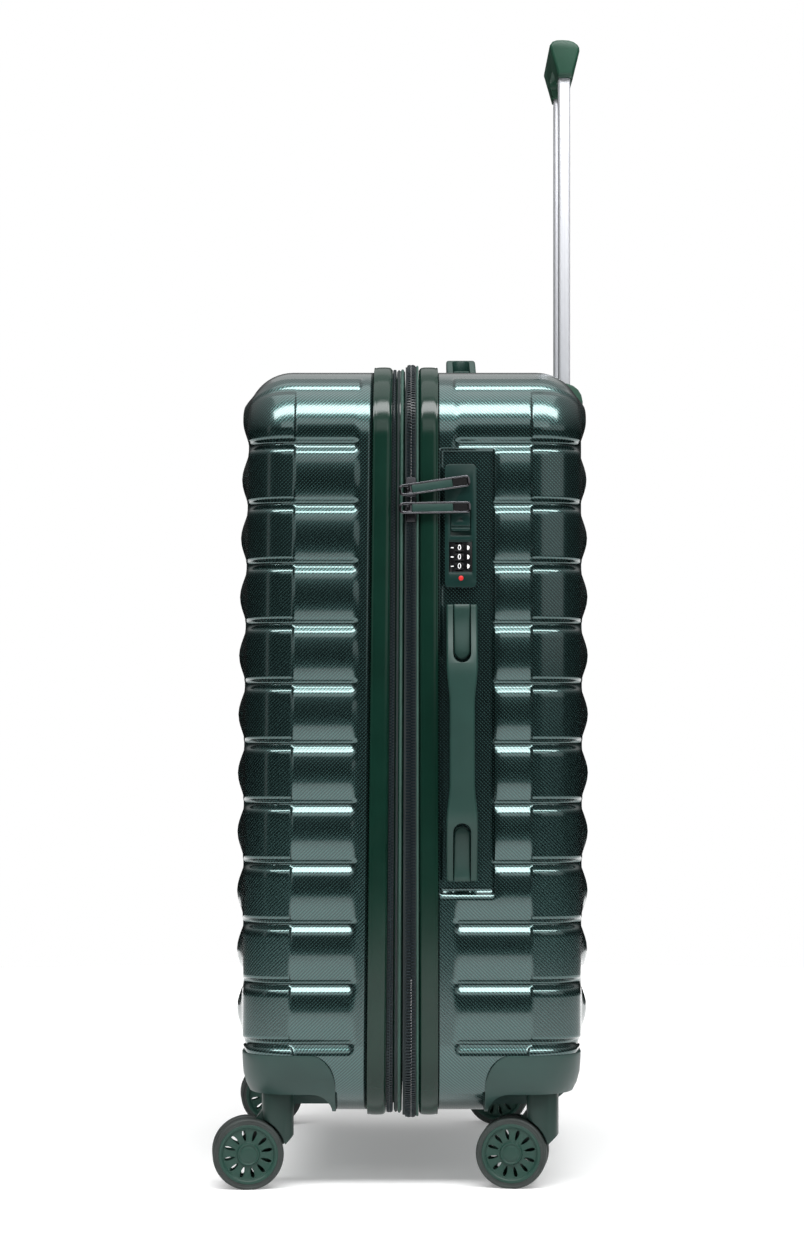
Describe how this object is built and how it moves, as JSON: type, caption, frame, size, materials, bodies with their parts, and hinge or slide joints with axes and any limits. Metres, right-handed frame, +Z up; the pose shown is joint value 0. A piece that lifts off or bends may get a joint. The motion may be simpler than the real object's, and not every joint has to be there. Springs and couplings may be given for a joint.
{
  "type": "hard shell spinner suitcase",
  "caption": "Upright ribbed hard shell suitcase with a zipped expansion joint, telescopic trolley, side and top carry handles, combination lock and twin wheel spinner casters.",
  "frame": {"origin": "middle of the footprint on the floor, under the wheels", "axes": "+Z up along the trolley, +X out of the lock and side handle side, +Y out of the trolley side, -Y out of the lid side"},
  "size_m": [0.4776, 0.3164, 0.9906],
  "materials": {
    "shell": "satin metallic polycarbonate with a fine diagonal texture",
    "rim_band": "high gloss moulded rim",
    "zip_tape": "woven tape with moulded teeth",
    "piping": "soft welt",
    "gusset_cloth": "woven polyester",
    "lining": "plain woven lining",
    "webbing": "ribbed webbing",
    "trolley_tube": "satin anodised",
    "grip": "satin moulded",
    "dial": "satin moulded with white digits",
    "zip_metal": "polished gunmetal",
    "lock_plastic": "matt moulded",
    "handle_plastic": "matt soft touch",
    "trim_plastic": "satin moulded",
    "caster_plastic": "satin moulded",
    "hub": "satin moulded",
    "tyre": "matt rubber"
  },
  "bodies": {
    "rear_case": {"rear_shell": "shell", "rear_rim_band": "rim_band", "main_zip_rear": "zip_tape", "hinge_tape": "gusset_cloth", "rear_lining": "lining", "packing_straps": "webbing", "corner_cover_rear_right": "trim_plastic", "outer_tube_right": "trolley_tube", "corner_cover_rear_left": "trim_plastic", "outer_tube_left": "trolley_tube", "trolley_foot": "trim_plastic", "trolley_bezel": "trim_plastic", "lock_body": "lock_plastic", "side_handle_anchor_upper": "handle_plastic", "side_handle_anchor_lower": "handle_plastic", "top_handle_anchor_left": "handle_plastic", "top_handle_anchor_right": "handle_plastic"},
    "lid_frame": {"main_zip_lid": "zip_tape", "middle_frame": "piping", "expansion_gusset": "gusset_cloth", "divider_panel": "lining"},
    "front_case": {"front_shell": "shell", "front_rim_band": "rim_band", "expander_zip_front": "zip_tape", "corner_cover_front_right": "trim_plastic", "corner_cover_front_left": "trim_plastic"},
    "trolley": {"inner_tube_right": "trolley_tube", "inner_tube_left": "trolley_tube", "trolley_grip": "grip"},
    "grip_button": {"grip_button": "grip"},
    "lock_button": {"lock_button": "lock_plastic"},
    "lock_dial_1": {"lock_dial_1": "dial"},
    "lock_dial_2": {"lock_dial_2": "dial"},
    "lock_dial_3": {"lock_dial_3": "dial"},
    "upper_slider": {"upper_zip_slider": "zip_metal"},
    "upper_puller": {"upper_zip_puller": "zip_metal"},
    "lower_slider": {"lower_zip_slider": "zip_metal"},
    "lower_puller": {"lower_zip_puller": "zip_metal"},
    "side_handle": {"side_handle": "handle_plastic"},
    "top_handle": {"top_handle": "handle_plastic"},
    "caster_rear_right": {"caster_fork_rear_right": "caster_plastic"},
    "wheel_rear_right_right": {"wheel_hub_rear_right_right": "hub", "wheel_tyre_rear_right_right": "tyre"},
    "wheel_rear_right_left": {"wheel_hub_rear_right_left": "hub", "wheel_tyre_rear_right_left": "tyre"},
    "caster_rear_left": {"caster_fork_rear_left": "caster_plastic"},
    "wheel_rear_left_right": {"wheel_hub_rear_left_right": "hub", "wheel_tyre_rear_left_right": "tyre"},
    "wheel_rear_left_left": {"wheel_hub_rear_left_left": "hub", "wheel_tyre_rear_left_left": "tyre"},
    "caster_front_right": {"caster_fork_front_right": "caster_plastic"},
    "wheel_front_right_right": {"wheel_hub_front_right_right": "hub", "wheel_tyre_front_right_right": "tyre"},
    "wheel_front_right_left": {"wheel_hub_front_right_left": "hub", "wheel_tyre_front_right_left": "tyre"},
    "caster_front_left": {"caster_fork_front_left": "caster_plastic"},
    "wheel_front_left_right": {"wheel_hub_front_left_right": "hub", "wheel_tyre_front_left_right": "tyre"},
    "wheel_front_left_left": {"wheel_hub_front_left_left": "hub", "wheel_tyre_front_left_left": "tyre"}
  },
  "joints": [
    {"name": "lid_hinge", "type": "hinge", "parent": "rear_case", "child": "lid_frame", "pos_m": [-0.23965, 0.00791, 0.371], "axis": [0, 0, -1], "range_deg": [0, 180]},
    {"name": "expansion_slide", "type": "slide", "parent": "lid_frame", "child": "front_case", "axis": [0, -1, 0], "range_m": [0, 0.04]},
    {"name": "trolley_slide", "type": "slide", "parent": "rear_case", "child": "trolley", "axis": [0, 0, 1], "range_m": [-0.3, 0]},
    {"name": "grip_button_press", "type": "slide", "parent": "trolley", "child": "grip_button", "axis": [0, 0, -1], "range_m": [0, 0.003], "stiffness_N_per_m": 600},
    {"name": "lock_button_press", "type": "slide", "parent": "rear_case", "child": "lock_button", "axis": [0, 0, -1], "range_m": [0, 0.0036], "stiffness_N_per_m": 500},
    {"name": "lock_dial_1_turn", "type": "hinge", "parent": "rear_case", "child": "lock_dial_1", "pos_m": [0.20965, 0.04766, 0.5295], "axis": [0, 0, 1], "continuous": true},
    {"name": "lock_dial_2_turn", "type": "hinge", "parent": "rear_case", "child": "lock_dial_2", "pos_m": [0.20965, 0.04766, 0.5219], "axis": [0, 0, 1], "continuous": true},
    {"name": "lock_dial_3_turn", "type": "hinge", "parent": "rear_case", "child": "lock_dial_3", "pos_m": [0.20965, 0.04766, 0.5143], "axis": [0, 0, 1], "continuous": true},
    {"name": "upper_slider_run", "type": "slide", "parent": "rear_case", "child": "upper_slider", "axis": [0, 0, 1], "range_m": [0, 0.03]},
    {"name": "upper_puller_swing", "type": "hinge", "parent": "upper_slider", "child": "upper_puller", "pos_m": [0.22855, 0.00076, 0.5755], "axis": [0, 0, -1], "range_deg": [0, 100]},
    {"name": "lower_slider_run", "type": "slide", "parent": "rear_case", "child": "lower_slider", "axis": [0, 0, -1], "range_m": [0, 0.055]},
    {"name": "lower_puller_swing", "type": "hinge", "parent": "lower_slider", "child": "lower_puller", "pos_m": [0.22855, 0.00076, 0.561], "axis": [0, 0, -1], "range_deg": [0, 100]},
    {"name": "side_handle_bow", "type": "slide", "parent": "rear_case", "child": "side_handle", "axis": [1, 0, 0], "range_m": [0, 0.012], "stiffness_N_per_m": 3000},
    {"name": "top_handle_bow", "type": "slide", "parent": "rear_case", "child": "top_handle", "axis": [0, 0, 1], "range_m": [0, 0.012], "stiffness_N_per_m": 3000},
    {"name": "swivel_rear_right", "type": "hinge", "parent": "rear_case", "child": "caster_rear_right", "pos_m": [0.18265, 0.11746, 0.08], "axis": [0, 0, 1], "continuous": true},
    {"name": "roll_rear_right_right", "type": "hinge", "parent": "caster_rear_right", "child": "wheel_rear_right_right", "pos_m": [0.18457, 0.09204, 0.02914], "axis": [0.9925, -0.1219, 0], "continuous": true},
    {"name": "roll_rear_right_left", "type": "hinge", "parent": "caster_rear_right", "child": "wheel_rear_right_left", "pos_m": [0.17464, 0.09325, 0.02914], "axis": [0.9925, -0.1219, 0], "continuous": true},
    {"name": "swivel_rear_left", "type": "hinge", "parent": "rear_case", "child": "caster_rear_left", "pos_m": [-0.19835, 0.11746, 0.08], "axis": [0, 0, 1], "continuous": true},
    {"name": "roll_rear_left_right", "type": "hinge", "parent": "caster_rear_left", "child": "wheel_rear_left_right", "pos_m": [-0.19643, 0.09204, 0.02914], "axis": [0.9925, -0.1219, 0], "continuous": true},
    {"name": "roll_rear_left_left", "type": "hinge", "parent": "caster_rear_left", "child": "wheel_rear_left_left", "pos_m": [-0.20636, 0.09325, 0.02914], "axis": [0.9925, -0.1219, 0], "continuous": true},
    {"name": "swivel_front_right", "type": "hinge", "parent": "front_case", "child": "caster_front_right", "pos_m": [0.18265, -0.10297, 0.08], "axis": [0, 0, 1], "continuous": true},
    {"name": "roll_front_right_right", "type": "hinge", "parent": "caster_front_right", "child": "wheel_front_right_right", "pos_m": [0.18981, -0.12744, 0.02914], "axis": [0.9962, 0.0872, 0], "continuous": true},
    {"name": "roll_front_right_left", "type": "hinge", "parent": "caster_front_right", "child": "wheel_front_right_left", "pos_m": [0.17985, -0.12831, 0.02914], "axis": [0.9962, 0.0872, 0], "continuous": true},
    {"name": "swivel_front_left", "type": "hinge", "parent": "front_case", "child": "caster_front_left", "pos_m": [-0.19835, -0.10297, 0.08], "axis": [0, 0, 1], "continuous": true},
    {"name": "roll_front_left_right", "type": "hinge", "parent": "caster_front_left", "child": "wheel_front_left_right", "pos_m": [-0.19119, -0.12744, 0.02914], "axis": [0.9962, 0.0872, 0], "continuous": true},
    {"name": "roll_front_left_left", "type": "hinge", "parent": "caster_front_left", "child": "wheel_front_left_left", "pos_m": [-0.20115, -0.12831, 0.02914], "axis": [0.9962, 0.0872, 0], "continuous": true}
  ]
}
